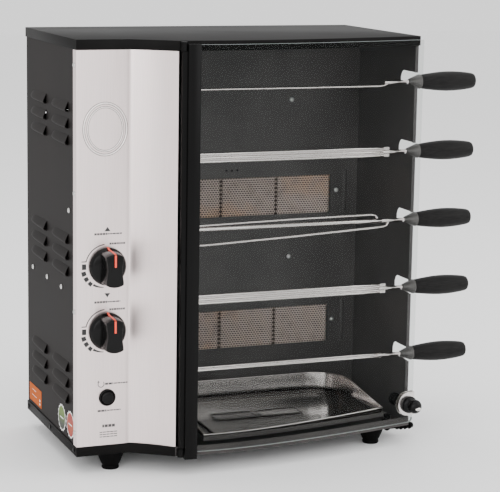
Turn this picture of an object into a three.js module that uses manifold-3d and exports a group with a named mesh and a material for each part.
// Five-spit gas rotisserie oven: a painted sheet cabinet with a stainless control panel on the left,
// a curved glass door hung on a black stile, two ceramic burners in the back wall and five driven spits.
// Millimetres, +X to the right seen from the front, +Y to the back, +Z up.
// The pieces are laid out from the cabinet's front left bottom corner; the last lines move the whole
// model so that its origin is the middle of its bounding box, at the soles of the feet.
import * as THREE from 'three';
import { mergeVertices } from 'three/addons/utils/BufferGeometryUtils.js';
import Module from 'manifold-3d';

const wasm = await Module();
wasm.setup();

// ---- driving dimensions -------------------------------------------------------------------------
const WIDTH = 525;            // cabinet, outside the lid
const DEPTH = 275;            // left side, front corner to back
const HEIGHT = 590;           // underside of the base to the top of the lid
const SHEET = 1.2;            // cabinet sheet
const GAP = 0.3;              // between pieces that touch
const FLANGE = 14;            // upturned rim of the base, downturned rim of the lid
const FOOT_HEIGHT = 26;
const FOOT_TOP_R = 18.5;
const FOOT_SOLE_R = 11;
const FOOT_INSET = 56;        // foot centres from the cabinet's sides
const FRONT_FOOT_Y = 20;
const REAR_FOOT_Y = DEPTH - 55;
const PANEL_FLAT = 76;        // flat part of the control panel
const STILE_X = 136;          // where the control panel's slanted part ends
const STILE_WIDTH = 27;
const STILE_DEPTH = 10;
const STILE_STEP = 8;         // width of the stile's narrow left step
const BOW_DEPTH = 41.5;       // the front edge stands this far forward at the stile
const BOW_SWELL = 16;         // and the glass swells this much further
const GLASS = 4;
const GLASS_GAP = 4.5;        // glass to the rims behind it
const GLASS_FOOT = 7;         // glass above the underside of the base
const GLASS_HEAD = 5;         // glass below the top of the lid
const PARTITION_X = 150;      // wall between the drive space and the cavity
const WALL_Y = DEPTH - 67;         // front of the back wall that holds the burners
const SPIT_Y = 42;
const SPIT_LOW_Z = 103;
const SPIT_PITCH = (HEIGHT - 173.6) / 4;
const SPIT_COUNT = 5;
const SHAFT = 6;              // square spit shaft, across flats
const BLADE_START = 200;
const BLADE_END = WIDTH - 28;
const SLOT_HEIGHT = 20;       // mouth of a spit slot in the right side
const SLOT_BEHIND = 21;       // how far a slot runs on behind the spit
const HANDLE_START = WIDTH + 20;
const HANDLE_LENGTH = 90;
const HANDLE_R = 14.4;
const SPROCKET_R = 12.5;
const DRIVE_X = 130;          // left face of the sprockets
const DRIVE_WIDTH = 4;
const TILE_WIDTH = 92;        // one ceramic tile; three make a burner
const TILES = 3;
const WINDOW_HEIGHT = 60;
const WINDOW_RIGHT = WIDTH - 49;
const BURNER_Z = [120, 329];
const BURNER_DEPTH = 40;
const VALVE_X = 44;
const VALVE_Z = [181, 274];
const KNOB_R = 26.5;
const KNOB_DEPTH = 39.5;
const GRIP = 12.5;            // half width of the knob's grip bar
const KNOB_TRAVEL = 3;
const BUTTON_Z = 84;
const BUTTON_R = 9.2;
const TRAY_BACK = 44;         // top of the tray's back wall
const TRAY_FRONT = 22;        // top of its front lip
const TRAY_FLOOR = 17;
const LOUVRE_LENGTH = 83;
const LOUVRE_COLUMNS = [45, 161];
const LOUVRE_ROWS = [98, 284, 471];
const LOUVRE_PITCH = 23.3;

const FRONT_Z0 = FLANGE + GAP;
const FRONT_Z1 = HEIGHT - FLANGE - GAP;
const INSIDE_Z0 = SHEET + GAP;
const INSIDE_Z1 = HEIGHT - SHEET - GAP;
const RIGHT_OUTER = WIDTH - SHEET - GAP;
const BACK_OUTER = DEPTH - SHEET - GAP;
const WINDOW_LEFT = WINDOW_RIGHT - TILES * TILE_WIDTH;
const spitZ = (i) => SPIT_LOW_Z + SPIT_PITCH * i;

// ---- materials ----------------------------------------------------------------------------------
const paint = (color, roughness, metalness) => new THREE.MeshStandardMaterial({ color, roughness, metalness });
const BLACK_PAINT = paint('#332f2e', 0.4, 0.3);
const LINER_PAINT = paint('#3d3a39', 0.5, 0.2);
const STAINLESS = paint('#d6cecd', 0.3, 0.9);
const GLASS_CLEAR = paint('#c9d2d0', 0.05, 0.0);
const STILE_BLACK = paint('#121212', 0.35, 0.2);
const HANDLE_BLACK = paint('#1b1a1a', 0.6, 0.0);
const KNOB_BLACK = paint('#101010', 0.2, 0.0);
const RUBBER = paint('#0d0d0d', 0.8, 0.0);
const CERAMIC = paint('#8a7a70', 0.9, 0.0);
const BRASS = paint('#b08d4f', 0.35, 0.9);
const ZINC = paint('#a9a9a6', 0.4, 0.8);

// ---- making and joining solids --------------------------------------------------------------------
function toManifold(geometry) {
  const bare = geometry.clone();
  bare.deleteAttribute('normal');
  bare.deleteAttribute('uv');
  const merged = mergeVertices(bare, 1e-4);
  return new wasm.Manifold(new wasm.Mesh({
    numProp: 3,
    vertProperties: Float32Array.from(merged.attributes.position.array),
    triVerts: Uint32Array.from(merged.index.array),
  }));
}

function toGeometry(manifold) {
  const { vertProperties, triVerts } = manifold.getMesh();
  const geometry = new THREE.BufferGeometry();
  geometry.setAttribute('position', new THREE.BufferAttribute(vertProperties, 3));
  geometry.setIndex(new THREE.BufferAttribute(triVerts, 1));
  geometry.computeVertexNormals();
  return geometry;
}

const join = (...pieces) => toGeometry(pieces.map(toManifold).reduce((a, b) => a.add(b)));
const cut = (body, ...tools) => toGeometry(tools.map(toManifold).reduce((a, b) => a.subtract(b), toManifold(body)));
const common = (a, b) => toGeometry(toManifold(a).intersect(toManifold(b)));

function block([x0, x1], [y0, y1], [z0, z1]) {
  const box = new THREE.BoxGeometry(x1 - x0, y1 - y0, z1 - z0);
  return box.translate((x0 + x1) / 2, (y0 + y1) / 2, (z0 + z1) / 2);
}

const outline = (points) => new THREE.Shape(points.map(([a, b]) => new THREE.Vector2(a, b)));

// An outline in plan (x, y), raised from z0 to z1.
function prismZ(points, z0, z1) {
  const flat = Array.isArray(points) ? outline(points) : points;
  const raised = new THREE.ExtrudeGeometry(flat, { depth: z1 - z0, bevelEnabled: false, curveSegments: 4 });
  return raised.translate(0, 0, z0);
}

// An outline seen from the side (y, z), running from x0 to x1.
function prismX(points, x0, x1) {
  const turn = new THREE.Matrix4().set(0, 0, 1, x0, 1, 0, 0, 0, 0, 1, 0, 0, 0, 0, 0, 1);
  return prismZ(points, 0, x1 - x0).applyMatrix4(turn);
}

// An outline seen from the front (x, z), running from y0 to y1.
function prismY(points, y0, y1) {
  const turn = new THREE.Matrix4().set(1, 0, 0, 0, 0, 0, -1, y1, 0, 1, 0, 0, 0, 0, 0, 1);
  return prismZ(points, 0, y1 - y0).applyMatrix4(turn);
}

// A turned piece: profile points are [radius, distance along the axis], both ends on the axis.
function turned(profile, axis, [x, y, z], sides = 16) {
  const rising = profile[0][1] < profile[profile.length - 1][1] ? profile : [...profile].reverse();
  const points = rising.map(([r, t]) => new THREE.Vector2(r, t));
  const lathe = new THREE.LatheGeometry(points, sides);
  if (axis === 'x') lathe.rotateZ(-Math.PI / 2);
  if (axis === 'z') lathe.rotateX(Math.PI / 2);
  return lathe.translate(x, y, z);
}

const rod = (r, t0, t1, axis, place, sides = 12) => turned([[0, t0], [r, t0], [r, t1], [0, t1]], axis, place, sides);

// A tube or wire of round section along a smooth line through the given points.
function pipe(points, radius, steps, sides = 6) {
  const path = new THREE.CatmullRomCurve3(points.map((p) => new THREE.Vector3(...p)), false, 'catmullrom', 0.2);
  const section = [...Array(sides).keys()].map((k) => {
    const a = (2 * Math.PI * k) / sides;
    return [radius * Math.cos(a), radius * Math.sin(a)];
  });
  return new THREE.ExtrudeGeometry(outline(section), { steps, extrudePath: path, bevelEnabled: false });
}

const roundedRect = (x0, x1, y0, y1, [r00, r10, r11, r01]) => {
  const s = new THREE.Shape();
  s.moveTo(x0 + r00, y0);
  s.lineTo(x1 - r10, y0);
  s.absarc(x1 - r10, y0 + r10, r10, -Math.PI / 2, 0);
  s.lineTo(x1, y1 - r11);
  s.absarc(x1 - r11, y1 - r11, r11, 0, Math.PI / 2);
  s.lineTo(x0 + r01, y1);
  s.absarc(x0 + r01, y1 - r01, r01, Math.PI / 2, Math.PI);
  s.lineTo(x0, y0 + r00);
  s.absarc(x0 + r00, y0 + r00, r00, Math.PI, 1.5 * Math.PI);
  return s;
};

const oven = new THREE.Group();
function add(name, geometry, material, parent = oven) {
  const mesh = new THREE.Mesh(geometry, material);
  mesh.name = name;
  parent.add(mesh);
  return mesh;
}

// ---- the bowed front --------------------------------------------------------------------------------
// The glass's outer face in plan: it leaves the stile nearly square, swells and falls back to the right.
const GLASS_X0 = STILE_X + STILE_WIDTH - 7;
const GLASS_X1 = WIDTH + 1.5;
const glassFace = new THREE.QuadraticBezierCurve(
  new THREE.Vector2(GLASS_X0, -BOW_DEPTH - GLASS_GAP - GLASS + 0.5),
  new THREE.Vector2(GLASS_X0 + (GLASS_X1 - GLASS_X0) * 0.28, -BOW_DEPTH - GLASS_GAP - GLASS - BOW_SWELL),
  new THREE.Vector2(GLASS_X1, -GLASS),
);

function glassLine(inset, from = 0, to = 1, steps = 10) {
  return [...Array(steps + 1).keys()].map((k) => {
    const t = from + ((to - from) * k) / steps;
    const p = glassFace.getPoint(t);
    const d = glassFace.getTangent(t);
    return [p.x - d.y * inset, p.y + d.x * inset];
  });
}

// The cabinet's outline in plan, everywhere the same distance inside the outer skin.
function plan(inset) {
  const bow = glassLine(GLASS + GLASS_GAP + inset, 0.02, 1)
    .filter(([x]) => x > STILE_X + 4 && x < WIDTH - inset - 1);
  const slope = Math.atan2(BOW_DEPTH, STILE_X - PANEL_FLAT);
  const fold = inset * Math.tan(slope / 2);
  const end = bow[bow.length - 1];
  return [
    [inset, DEPTH - inset], [inset, inset], [PANEL_FLAT + fold, inset],
    [STILE_X - 2 + fold, -BOW_DEPTH + inset + 1], ...bow,
    [WIDTH - inset, end[1] + (WIDTH - inset - end[0]) * 0.22], [WIDTH - inset, DEPTH - inset],
  ];
}

function shallowPan(z0, z1, floorAtBottom) {
  const hollow = floorAtBottom ? [z0 + SHEET, z1 + 1] : [z0 - 1, z1 - SHEET];
  return cut(prismZ(plan(0), z0, z1), prismZ(plan(SHEET), ...hollow));
}

// ---- cabinet ----------------------------------------------------------------------------------------
const INLET = [WIDTH - 22, 34];      // gas inlet, in plan
const HOSE_Z = -9.5;

function basePan() {
  return cut(shallowPan(0, FLANGE, true), rod(6.5, -1, SHEET + 1, 'z', [INLET[0], INLET[1], 0]));
}

// A pressed hood: a round mouth at the front that narrows to a point, open at the front end.
function louvreHood(y, z) {
  const hood = (grow) => turned([
    [0, 0], [7 + grow, 0], [5.6 + grow, LOUVRE_LENGTH * 0.45], [0, LOUVRE_LENGTH + grow * 6],
  ], 'y', [0, 0, 0], 8).scale(0.8, 1, 1).translate(SHEET + GAP, y, z);
  const outside = block([-9, SHEET + GAP + 0.4], [y - 1, y + LOUVRE_LENGTH + 1], [z - 10, z + 10]);
  return { skin: common(hood(0), outside), hollow: hood(-1.1).translate(0, -0.5, 0) };
}

function leftSide() {
  const x0 = SHEET + GAP;
  let sheet = toManifold(block([x0, x0 + SHEET], [x0 + GAP, BACK_OUTER - GAP], [INSIDE_Z0, INSIDE_Z1]));
  for (const y of LOUVRE_COLUMNS) {
    for (const middle of LOUVRE_ROWS) {
      for (const step of [-1, 0, 1]) {
        const { skin, hollow } = louvreHood(y, middle + step * LOUVRE_PITCH);
        sheet = sheet.add(toManifold(skin)).subtract(toManifold(hollow));
      }
    }
  }
  return toGeometry(sheet);
}

// The slot's lower edge falls towards the front; a shallow seat holds the spit's shaft.
function spitSlot(z) {
  const seat = z - SHAFT / 2 - GAP;
  const back = SPIT_Y + SLOT_BEHIND;
  const top = seat + SLOT_HEIGHT;
  return prismX([
    [-60, seat - 6], [SPIT_Y - 14, seat + 1], [SPIT_Y - 4, seat], [back, seat],
    [back, top - 10], [back - 3, top - 4], [back - 8, top], [-60, top],
  ], RIGHT_OUTER - 30, RIGHT_OUTER + 5);
}

function rightSide() {
  const front = plan(SHEET).reduce((y, p) => (p[0] > WIDTH - 3 ? Math.min(y, p[1]) : y), DEPTH) + 2;
  const panel = block([RIGHT_OUTER - SHEET, RIGHT_OUTER], [front, BACK_OUTER - GAP], [INSIDE_Z0, INSIDE_Z1]);
  const lip = block([RIGHT_OUTER - 5, RIGHT_OUTER - SHEET + 0.2], [front, front + SHEET], [FLANGE + 2, HEIGHT - FLANGE - 2]);
  return cut(join(panel, lip), ...[...Array(SPIT_COUNT).keys()].map((i) => spitSlot(spitZ(i))));
}

const GLAND = [40, 45];       // power cord gland on the rear cover, x and z

function rearCover() {
  const y1 = BACK_OUTER;
  const sheet = block([2 * (SHEET + GAP), RIGHT_OUTER - SHEET - GAP], [y1 - SHEET, y1], [INSIDE_Z0, INSIDE_Z1]);
  const slots = [];
  for (let row = 0; row < 6; row += 1) {
    const z = 110 + row * 70;
    slots.push(block([25, 75], [y1 - 5, y1 + 5], [z, z + 5]), block([90, 140], [y1 - 5, y1 + 5], [z, z + 5]));
  }
  const gland = rod(7.5, -5, 5, 'y', [GLAND[0], y1, GLAND[1]]);
  return cut(sheet, ...slots, gland);
}

function burnerWall() {
  const sheet = block([PARTITION_X + SHEET + GAP, RIGHT_OUTER - SHEET - GAP], [WALL_Y, WALL_Y + SHEET], [INSIDE_Z0, INSIDE_Z1]);
  const windows = BURNER_Z.map((z) => block(
    [WINDOW_LEFT, WINDOW_RIGHT], [WALL_Y - 5, WALL_Y + 5], [z - WINDOW_HEIGHT / 2, z + WINDOW_HEIGHT / 2],
  ));
  return cut(sheet, ...windows);
}

const BUSH_R = 8;
const PIPE_Y = 88;            // the gas pipe crosses under the tray here
const PIPE_R = 4.2;

function partition() {
  const sheet = block([PARTITION_X, PARTITION_X + SHEET], [-BOW_DEPTH + 5, WALL_Y + SHEET], [INSIDE_Z0, INSIDE_Z1]);
  const holes = [...Array(SPIT_COUNT).keys()].map((i) => rod(BUSH_R + GAP, -9, 9, 'x', [PARTITION_X, SPIT_Y, spitZ(i)]));
  const notch = block([PARTITION_X - 5, PARTITION_X + 5], [PIPE_Y - 7, PIPE_Y + 7], [0, 15]);
  return cut(sheet, notch, ...holes);
}

// The stainless front: a flange round the left corner, a flat part for the controls and a slanted part.
function controlPanel() {
  const slope = Math.atan2(BOW_DEPTH, STILE_X - PANEL_FLAT);
  const t = SHEET - GAP;
  const fold = t * Math.tan(slope / 2);
  const tip = [STILE_X - 2, -BOW_DEPTH + 1];
  const sheet = prismZ([
    [0, 16], [0, 0], [PANEL_FLAT, 0], tip,
    [tip[0] + t * Math.sin(slope), tip[1] + t * Math.cos(slope)], [PANEL_FLAT + fold, t], [t, t], [t, 16],
  ], FRONT_Z0, FRONT_Z1);
  const holes = VALVE_Z.map((z) => rod(5.5, -5, 5, 'y', [VALVE_X, 0, z]));
  return cut(sheet, rod(BUTTON_R + 1.2, -5, 5, 'y', [VALVE_X, 0, BUTTON_Z]), ...holes);
}

function foot(x, y) {
  return turned([
    [0, -GAP], [FOOT_TOP_R, -GAP], [FOOT_TOP_R, -3], [FOOT_SOLE_R, 3 - FOOT_HEIGHT],
    [FOOT_SOLE_R + 1, 2 - FOOT_HEIGHT], [FOOT_SOLE_R, -FOOT_HEIGHT], [0, -FOOT_HEIGHT],
  ], 'z', [x, y, 0]);
}

// A pan whose sides fall from the back wall to a low front lip that follows the glass.
function dripTray() {
  const rim = (inset) => {
    const front = glassLine(GLASS + GLASS_GAP + 13 + inset, 0.1, 0.93);
    const left = front[0][0];
    const right = front[front.length - 1][0];
    const y = WALL_Y - 16 - inset;
    const s = new THREE.Shape();
    s.moveTo(...front[0]);
    front.slice(1).forEach((p) => s.lineTo(...p));
    s.lineTo(right, y - 55);
    s.absarc(right - 55, y - 55, 55, 0, Math.PI / 2);
    s.lineTo(left + 55, y);
    s.absarc(left + 55, y - 55, 55, Math.PI / 2, Math.PI);
    return s;
  };
  const shell = cut(prismZ(rim(0), TRAY_FLOOR, TRAY_BACK), prismZ(rim(SHEET), TRAY_FLOOR + SHEET, TRAY_BACK + 9));
  const fall = prismX([
    [-90, 0], [DEPTH, 0], [DEPTH, TRAY_BACK + 8], [WALL_Y - 70, TRAY_BACK - 2], [-40, TRAY_FRONT], [-90, TRAY_FRONT],
  ], 0, WIDTH);
  return common(shell, fall);
}

add('base_pan', basePan(), BLACK_PAINT);
add('lid', shallowPan(HEIGHT - FLANGE, HEIGHT, false), BLACK_PAINT);
add('left_side_panel', leftSide(), BLACK_PAINT);
add('right_side_panel', rightSide(), LINER_PAINT);
add('rear_cover', rearCover(), BLACK_PAINT);
add('burner_wall', burnerWall(), LINER_PAINT);
add('drive_partition', partition(), LINER_PAINT);
add('control_panel', controlPanel(), STAINLESS);
add('drip_tray', dripTray(), STAINLESS);
for (const [side, x] of [['left', FOOT_INSET], ['right', WIDTH - FOOT_INSET]]) {
  add(`foot_front_${side}`, foot(x, FRONT_FOOT_Y), RUBBER);
  add(`foot_rear_${side}`, foot(x, REAR_FOOT_Y), RUBBER);
}

// ---- door: the stile turns on two barrels fixed to the lid and the base ------------------------------
const PIVOT = [STILE_X + 3.5, -BOW_DEPTH - 5.5];
const BARREL_R = 4.4;
const BARREL_HEIGHT = 12;
const PIN_R = 2.2;
const BARREL_Z = [1, HEIGHT - 1 - BARREL_HEIGHT];
const PIN_REACH = 10;

function hinge(z, pinUp) {
  const [x, y] = PIVOT;
  const barrel = rod(BARREL_R, z, z + BARREL_HEIGHT, 'z', [x, y, 0], 12);
  const web = block([x - BARREL_R + 0.1, x + BARREL_R - 0.1], [y, -BOW_DEPTH + 0.6 - GAP], [z + 0.5, z + BARREL_HEIGHT - 0.5]);
  const pin = pinUp
    ? rod(PIN_R, z + BARREL_HEIGHT - 1, z + BARREL_HEIGHT + PIN_REACH, 'z', [x, y, 0])
    : rod(PIN_R, z - PIN_REACH, z + 1, 'z', [x, y, 0]);
  return join(barrel, web, pin);
}

function doorStile() {
  const front = -BOW_DEPTH - 1.5 - STILE_DEPTH;
  const back = front + STILE_DEPTH;
  const stepZ = [BARREL_Z[0] + BARREL_HEIGHT + GAP + 0.2, BARREL_Z[1] - GAP - 0.2];
  const main = block([STILE_X + STILE_STEP + 0.3, STILE_X + STILE_WIDTH], [front, back], [-2.5, HEIGHT - 4]);
  const step = block([STILE_X + 0.5, STILE_X + STILE_STEP + 0.5], [front + 2.5, back - 0.5], stepZ);
  const groove = prismZ([
    ...glassLine(-0.4, 0, 0.06, 3), ...glassLine(GLASS + 0.4, 0, 0.06, 3).reverse(),
  ].map(([x, y], k) => [k === 0 || k === 7 ? x - 0.6 : x, y]), GLASS_FOOT - 0.5, HEIGHT + 9);
  const hole = (z0, z1) => rod(PIN_R + GAP, z0, z1, 'z', [PIVOT[0], PIVOT[1], 0]);
  return cut(
    join(main, step), groove,
    hole(stepZ[0] - 1, stepZ[0] + PIN_REACH + 1), hole(stepZ[1] - PIN_REACH - 1, stepZ[1] + 1),
  );
}

const LATCH_BACK = 11.5;      // knob's axis from the glass's right edge
const LATCH_Z = 37;
const STUD_R = 3;

function glassPane() {
  const slab = prismZ([...glassLine(0), ...glassLine(GLASS).reverse()], 0, HEIGHT);
  const face = prismY(roundedRect(
    GLASS_X0 - 5, GLASS_X1 + 0.01, GLASS_FOOT, HEIGHT - GLASS_HEAD, [0.5, 9, 4, 0.5],
  ), -120, 60);
  const stud = rod(STUD_R + 1, -40, 40, 'y', [0, 0, 0]).applyMatrix4(latchPlace());
  return cut(common(slab, face), stud);
}

// The latch sits in its own frame on the glass's right edge: x along the glass, y square to it.
function latchPlace() {
  const edge = glassFace.getPoint(1);
  const d = glassFace.getTangent(0.97);
  const place = new THREE.Matrix4().makeRotationZ(Math.atan2(d.y, d.x));
  return place.setPosition(edge.x - d.x * LATCH_BACK, edge.y - d.y * LATCH_BACK, LATCH_Z);
}

function latchClip() {
  const right = LATCH_BACK + 1.7;
  const front = roundedRect(-17, right, -18, 18, [17, 1, 1, 17]);
  const outer = prismY(front, -1.7, GLASS + 1.7);
  const inner = block([-30, LATCH_BACK + 0.5], [-0.5, GLASS + 0.5], [-30, 30]);
  return cut(outer, inner, rod(STUD_R + 0.5, -9, GLASS + 9, 'y', [0, 0, 0]));
}

function latchKnob() {
  return turned([
    [0, -34], [5, -33.4], [8, -30.5], [9, -26.5], [8, -22.5], [6, -19.5], [6, -16], [9, -14.5], [9, -2],
    [STUD_R, -2], [STUD_R, GLASS + 3.5], [0, GLASS + 3.5],
  ], 'y', [0, 0, 0]);
}

const bumper = () => rod(9, GLASS + 2.2, GLASS + 14, 'y', [-15, 0, 7], 16);

add('hinge_lower', hinge(BARREL_Z[0], true), STILE_BLACK);
add('hinge_upper', hinge(BARREL_Z[1], false), STILE_BLACK);
add('door_stile', doorStile(), STILE_BLACK);
add('door_glass', glassPane(), GLASS_CLEAR);
const latch = new THREE.Group();
latch.applyMatrix4(latchPlace());
oven.add(latch);
add('latch_clip', latchClip(), STAINLESS, latch);
add('latch_knob', latchKnob(), KNOB_BLACK, latch);
add('latch_bumper', bumper(), RUBBER, latch);

// ---- burners and gas --------------------------------------------------------------------------------
const NAMES = ['lower', 'upper'];

const FEED_Y = WALL_Y + 30;

function burnerBox(z) {
  const x = [WINDOW_LEFT - 8, WINDOW_RIGHT + 8];
  const half = WINDOW_HEIGHT / 2 + 8;
  const y0 = WALL_Y + SHEET + GAP;
  const shell = block(x, [y0, y0 + BURNER_DEPTH], [z - half, z + half]);
  const inside = block([x[0] + SHEET, x[1] - SHEET], [y0 - 1, y0 + BURNER_DEPTH - SHEET], [z - half + SHEET, z + half - SHEET]);
  return cut(shell, inside, rod(5, -9, 9, 'x', [x[0], FEED_Y, z]));
}

function burnerTiles(z) {
  const x = [WINDOW_LEFT - 6, WINDOW_RIGHT + 6];
  const half = WINDOW_HEIGHT / 2 + 6;
  const y0 = WALL_Y + SHEET + GAP;
  const joints = [1, 2].map((k) => {
    const at = WINDOW_LEFT + k * TILE_WIDTH;
    return block([at - 0.6, at + 0.6], [y0 - 1, y0 + 2], [z - 60, z + 60]);
  });
  return cut(block(x, [y0, y0 + 12], [z - half, z + half]), ...joints);
}

const VALVE_BACK = 36;
const SPINDLE_R = 4;

function gasValve(z) {
  const body = block([VALVE_X - 14, VALVE_X + 14], [SHEET + GAP, VALVE_BACK], [z - 13, z + 13]);
  return cut(body, rod(SPINDLE_R + GAP, -1, 16, 'y', [VALVE_X, 0, z]));
}

function feedPipe(i) {
  const x = VALVE_X + 14 + GAP;
  return pipe([
    [x, 20, VALVE_Z[i]], [x + 9, 20, VALVE_Z[i]], [x + 16, 30, VALVE_Z[i]], [x + 20, 90, (VALVE_Z[i] + BURNER_Z[i]) / 2],
    [x + 26, FEED_Y - 20, BURNER_Z[i]], [x + 50, FEED_Y, BURNER_Z[i]], [WINDOW_LEFT - 8 - GAP, FEED_Y, BURNER_Z[i]],
  ], 4, 20);
}

// From the inlet it crosses under the tray and climbs behind the control panel to both valves.
function supplyPipe() {
  const y = VALVE_BACK + GAP + PIPE_R + 0.2;
  return pipe([
    [VALVE_X, y, VALVE_Z[1] + 18], [VALVE_X, y, VALVE_Z[0]], [VALVE_X, y, 40], [VALVE_X, PIPE_Y - 14, 12],
    [VALVE_X + 24, PIPE_Y, 8], [INLET[0] - 60, PIPE_Y, 8], [INLET[0] - 8, PIPE_Y - 14, 8], [INLET[0], INLET[1] + 6, 8],
  ], PIPE_R, 30);
}

// Threaded elbow through the base with a barbed nozzle for the hose.
function hoseNozzle() {
  const stem = rod(5.4, HOSE_Z - 4, 12, 'z', [INLET[0], INLET[1], 0]);
  const barbs = [0, 1, 2].flatMap((k) => [[4, 16 + 10.5 * k], [5.8, 16.3 + 10.5 * k], [4.2, 25 + 10.5 * k]]);
  const nozzle = turned([
    [0, -5], [5.6, -5], [5.6, 8], [7.5, 8], [7.5, 14], [4, 14], ...barbs, [4, 49], [0, 49],
  ], 'x', [INLET[0], INLET[1], HOSE_Z], 12);
  return join(stem, nozzle);
}

// A round skirt with a grip bar across it, on a D spindle; the spindle turns and the knob pushes in.
function valveKnob(z) {
  const skirt = turned([
    [0, -12.5], [KNOB_R - 3.5, -12.5], [KNOB_R - 0.5, -9], [KNOB_R, -3.5 ], [0, -3.5],
  ], 'y', [VALVE_X, 0, z], 24);
  const bar = prismY(roundedRect(VALVE_X - GRIP, VALVE_X + GRIP, z - KNOB_R + 3, z + KNOB_R - 3, [5, 5, 5, 5]),
    -3.5 - KNOB_DEPTH, -12);
  return cut(join(skirt, bar), rod(SPINDLE_R + GAP, -25, 0, 'y', [VALVE_X, 0, z]));
}

const spindle = (z) => rod(SPINDLE_R, -25 + KNOB_TRAVEL + 1, 15.5, 'y', [VALVE_X, 0, z]);

BURNER_Z.forEach((z, i) => {
  add(`burner_box_${NAMES[i]}`, burnerBox(z), ZINC);
  add(`burner_tiles_${NAMES[i]}`, burnerTiles(z), CERAMIC);
});
VALVE_Z.forEach((z, i) => {
  add(`gas_valve_${NAMES[i]}`, gasValve(z), BRASS);
  add(`feed_pipe_${NAMES[i]}`, feedPipe(i), ZINC);
  add(`valve_spindle_${NAMES[i]}`, spindle(z), BRASS);
  add(`control_knob_${NAMES[i]}`, valveKnob(z), KNOB_BLACK);
});
add('supply_pipe', supplyPipe(), ZINC);
add('hose_nozzle', hoseNozzle(), RUBBER);

// ---- switch and cord gland --------------------------------------------------------------------------
function switchBody() {
  const bezel = turned([[0, -2.5], [BUTTON_R + 2.6, -2.5], [BUTTON_R + 3.2, -GAP], [0, -GAP]], 'y', [VALVE_X, 0, BUTTON_Z], 16);
  const body = rod(BUTTON_R + 0.8, -1, 28, 'y', [VALVE_X, 0, BUTTON_Z], 16);
  return cut(join(bezel, body), rod(BUTTON_R + GAP, -9, 14, 'y', [VALVE_X, 0, BUTTON_Z], 16));
}

const buttonCap = () => turned([
  [0, 8], [BUTTON_R, 8], [BUTTON_R, -4.4], [BUTTON_R - 1.2, -5.4], [0, -5.8],
], 'y', [VALVE_X, 0, BUTTON_Z], 16);

function cordGland() {
  const y = BACK_OUTER;
  const body = turned([
    [0, -12], [9, -12], [9, -SHEET - GAP], [7, -SHEET - GAP], [7, GAP], [10, GAP], [10, 7], [6.5, 14], [0, 14],
  ], 'y', [GLAND[0], y, GLAND[1]], 12);
  return cut(body, rod(3.6, -20, 20, 'y', [GLAND[0], y, GLAND[1]]));
}

add('switch_body', switchBody(), KNOB_BLACK);
add('push_button', buttonCap(), KNOB_BLACK);
add('cord_gland', cordGland(), RUBBER);

// ---- drive: one chain turns the five sockets --------------------------------------------------------
const MOTOR_Z = spitZ(0);     // the motor's own shaft carries the lowest socket
const MOTOR_GRIP = 12;        // how far that shaft reaches into the gearcase
const AXLE_R = 5;
const SOCKET_R = 8;
const SOCKET_END = 178;
const CHAIN_GAP = 0.7;
const CHAIN_THICK = 4;

function sprocket(z, x0, x1) {
  const disc = rod(SPROCKET_R, DRIVE_X, DRIVE_X + DRIVE_WIDTH, 'x', [0, SPIT_Y, z], 12);
  return join(disc, rod(AXLE_R, x0, x1, 'x', [0, SPIT_Y, z]));
}

function spitSocket(i) {
  const z = spitZ(i);
  const left = DRIVE_X - 3 - (i === 0 ? MOTOR_GRIP : 0);
  const cup = rod(SOCKET_R, PARTITION_X + SHEET + 4.5, SOCKET_END, 'x', [0, SPIT_Y, z], 12);
  const half = SHAFT / 2 + GAP;
  const hole = block([PARTITION_X + 12, SOCKET_END + 5], [SPIT_Y - half, SPIT_Y + half], [z - half, z + half]);
  return cut(join(sprocket(z, left, PARTITION_X + 8), cup), hole);
}

function bush(z) {
  const x = PARTITION_X;
  const ring = turned([
    [0, x - 4], [BUSH_R, x - 4], [BUSH_R, x + SHEET + GAP], [BUSH_R + 3, x + SHEET + GAP],
    [BUSH_R + 3, x + SHEET + 3.5], [0, x + SHEET + 3.5],
  ].map(([r, t]) => [r, t - x]), 'x', [x, SPIT_Y, z], 12);
  return cut(ring, rod(AXLE_R + GAP, -20, 20, 'x', [x, SPIT_Y, z], 12));
}

function driveChain() {
  const top = spitZ(SPIT_COUNT - 1);
  const loop = (r) => {
    const s = new THREE.Shape();
    s.moveTo(SPIT_Y + r, MOTOR_Z);
    s.lineTo(SPIT_Y + r, top);
    s.absarc(SPIT_Y, top, r, 0, Math.PI);
    s.lineTo(SPIT_Y - r, MOTOR_Z);
    s.absarc(SPIT_Y, MOTOR_Z, r, Math.PI, 2 * Math.PI);
    return s;
  };
  const inner = SPROCKET_R + CHAIN_GAP;
  return cut(
    prismX(loop(inner + CHAIN_THICK), DRIVE_X - 0.5, DRIVE_X + DRIVE_WIDTH + 0.5),
    prismX(loop(inner), DRIVE_X - 5, DRIVE_X + DRIVE_WIDTH + 5),
  );
}

function gearMotor() {
  const x1 = DRIVE_X - 3;
  const gearcase = block([x1 - 22, x1], [SPIT_Y - 24, SPIT_Y + 24], [MOTOR_Z - 24, MOTOR_Z + 24]);
  const can = rod(18, x1 - 60, x1 - 21, 'x', [0, SPIT_Y, MOTOR_Z], 16);
  return cut(join(gearcase, can), rod(AXLE_R + GAP, x1 - 16, x1 + 5, 'x', [0, SPIT_Y, MOTOR_Z]));
}

add('gear_motor', gearMotor(), ZINC);
add('drive_chain', driveChain(), ZINC);

// ---- spits ------------------------------------------------------------------------------------------
const ribs = (count) => {
  const pitch = 5.4;
  return [...Array(count).keys()].map((k) => (k - (count - 1) / 2) * pitch);
};

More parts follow.
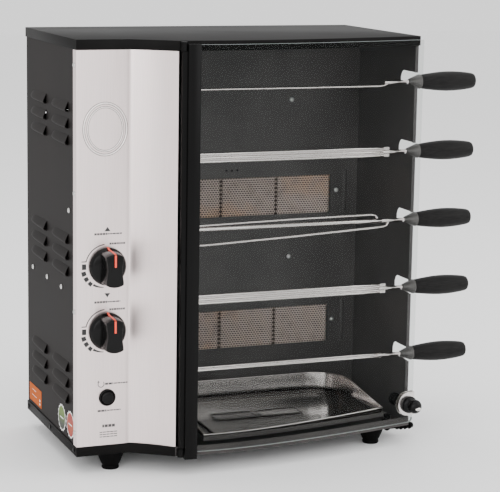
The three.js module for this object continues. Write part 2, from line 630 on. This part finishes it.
function spitShaft(z) {
  const half = SHAFT / 2;
  const square = ([x0, x1]) => block([x0, x1], [SPIT_Y - half, SPIT_Y + half], [z - half, z + half]);
  const ferrule = turned([
    [0, RIGHT_OUTER + 3], [4.5, RIGHT_OUTER + 3], [10, HANDLE_START - GAP], [0, HANDLE_START - GAP],
  ], 'x', [0, SPIT_Y, z], 12);
  return { half, square, ferrule, tang: [HANDLE_START - 2, HANDLE_START + 40] };
}

const wire = (from, to, r, z) => pipe([
  [from[0], SPIT_Y, z + from[1]], [(from[0] + to[0]) / 2, SPIT_Y, z + (from[1] + to[1]) / 2], [to[0], SPIT_Y, z + to[1]],
], r, 1);

// A ribbed blade, a fork with two thin tines beside its bar, or a cranked wire.
function spit(kind, z) {
  const { half, square, ferrule, tang } = spitShaft(z);
  const tip = [PARTITION_X + 13, BLADE_START + 2];
  const neck = rod(half, BLADE_END - 2, HANDLE_START - 1, 'x', [0, SPIT_Y, z]);
  const ends = [square(tip), neck, ferrule, square(tang)];
  if (kind === 'blade') {
    return join(...ends, ...ribs(3).map((dz) => rod(2.75, BLADE_START, BLADE_END, 'x', [0, SPIT_Y, z + dz], 6)));
  }
  if (kind === 'narrow') {
    return join(...ends, ...ribs(2).map((dz) => rod(2.9, BLADE_START, BLADE_END, 'x', [0, SPIT_Y, z + dz * 0.7], 10)));
  }
  if (kind === 'fork') {
    const bar = block([BLADE_START, BLADE_END], [SPIT_Y - 2, SPIT_Y + 2], [z - 3.5, z + 3.5]);
    const yoke = block([BLADE_END - 22, BLADE_END - 16], [SPIT_Y - 1.6, SPIT_Y + 1.6], [z - 11, z + 11]);
    return join(
      ...ends, bar, yoke,
      wire([BLADE_START + 8, 7.5], [BLADE_END - 18, 10], 1.6, z), wire([BLADE_START + 8, -19], [BLADE_END - 18, -10], 1.8, z),
    );
  }
  return join(
    ...ends, rod(1.8, BLADE_START + 4, BLADE_END - 12, 'x', [0, SPIT_Y, z - 5.5], 8),
    wire([BLADE_END - 13, -5.5], [BLADE_END, 0], 1.8, z), wire([BLADE_START, 0], [BLADE_START + 6, -5.5], 1.8, z),
  );
}

function spitHandle(z) {
  const x0 = HANDLE_START;
  const profile = [
    [0, 0], [10.4, 0], [12.2, 12], [13.7, 26], [HANDLE_R, 42], [13.9, 60], [12.6, 76], [11.4, HANDLE_LENGTH - 6],
    [9, HANDLE_LENGTH - 1.2], [0, HANDLE_LENGTH],
  ];
  const half = SHAFT / 2 + GAP;
  const bore = block([x0 - 5, x0 + 42], [SPIT_Y - half, SPIT_Y + half], [z - half, z + half]);
  return cut(turned(profile, 'x', [x0, SPIT_Y, z], 12), bore);
}

const KINDS = ['narrow', 'blade', 'fork', 'blade', 'wire'];
KINDS.forEach((kind, i) => {
  add(`spit_socket_${i + 1}`, spitSocket(i), ZINC);
  add(`socket_bush_${i + 1}`, bush(spitZ(i)), BRASS);
  add(`spit_${i + 1}`, spit(kind, spitZ(i)), STAINLESS);
  add(`spit_handle_${i + 1}`, spitHandle(spitZ(i)), HANDLE_BLACK);
});

// ---- origin -----------------------------------------------------------------------------------------
oven.updateMatrixWorld(true);
const bounds = new THREE.Box3().setFromObject(oven, true);
const middle = bounds.getCenter(new THREE.Vector3());
const part = new THREE.Group();
oven.position.set(-middle.x, -middle.y, -bounds.min.z);
part.add(oven);

export default part;
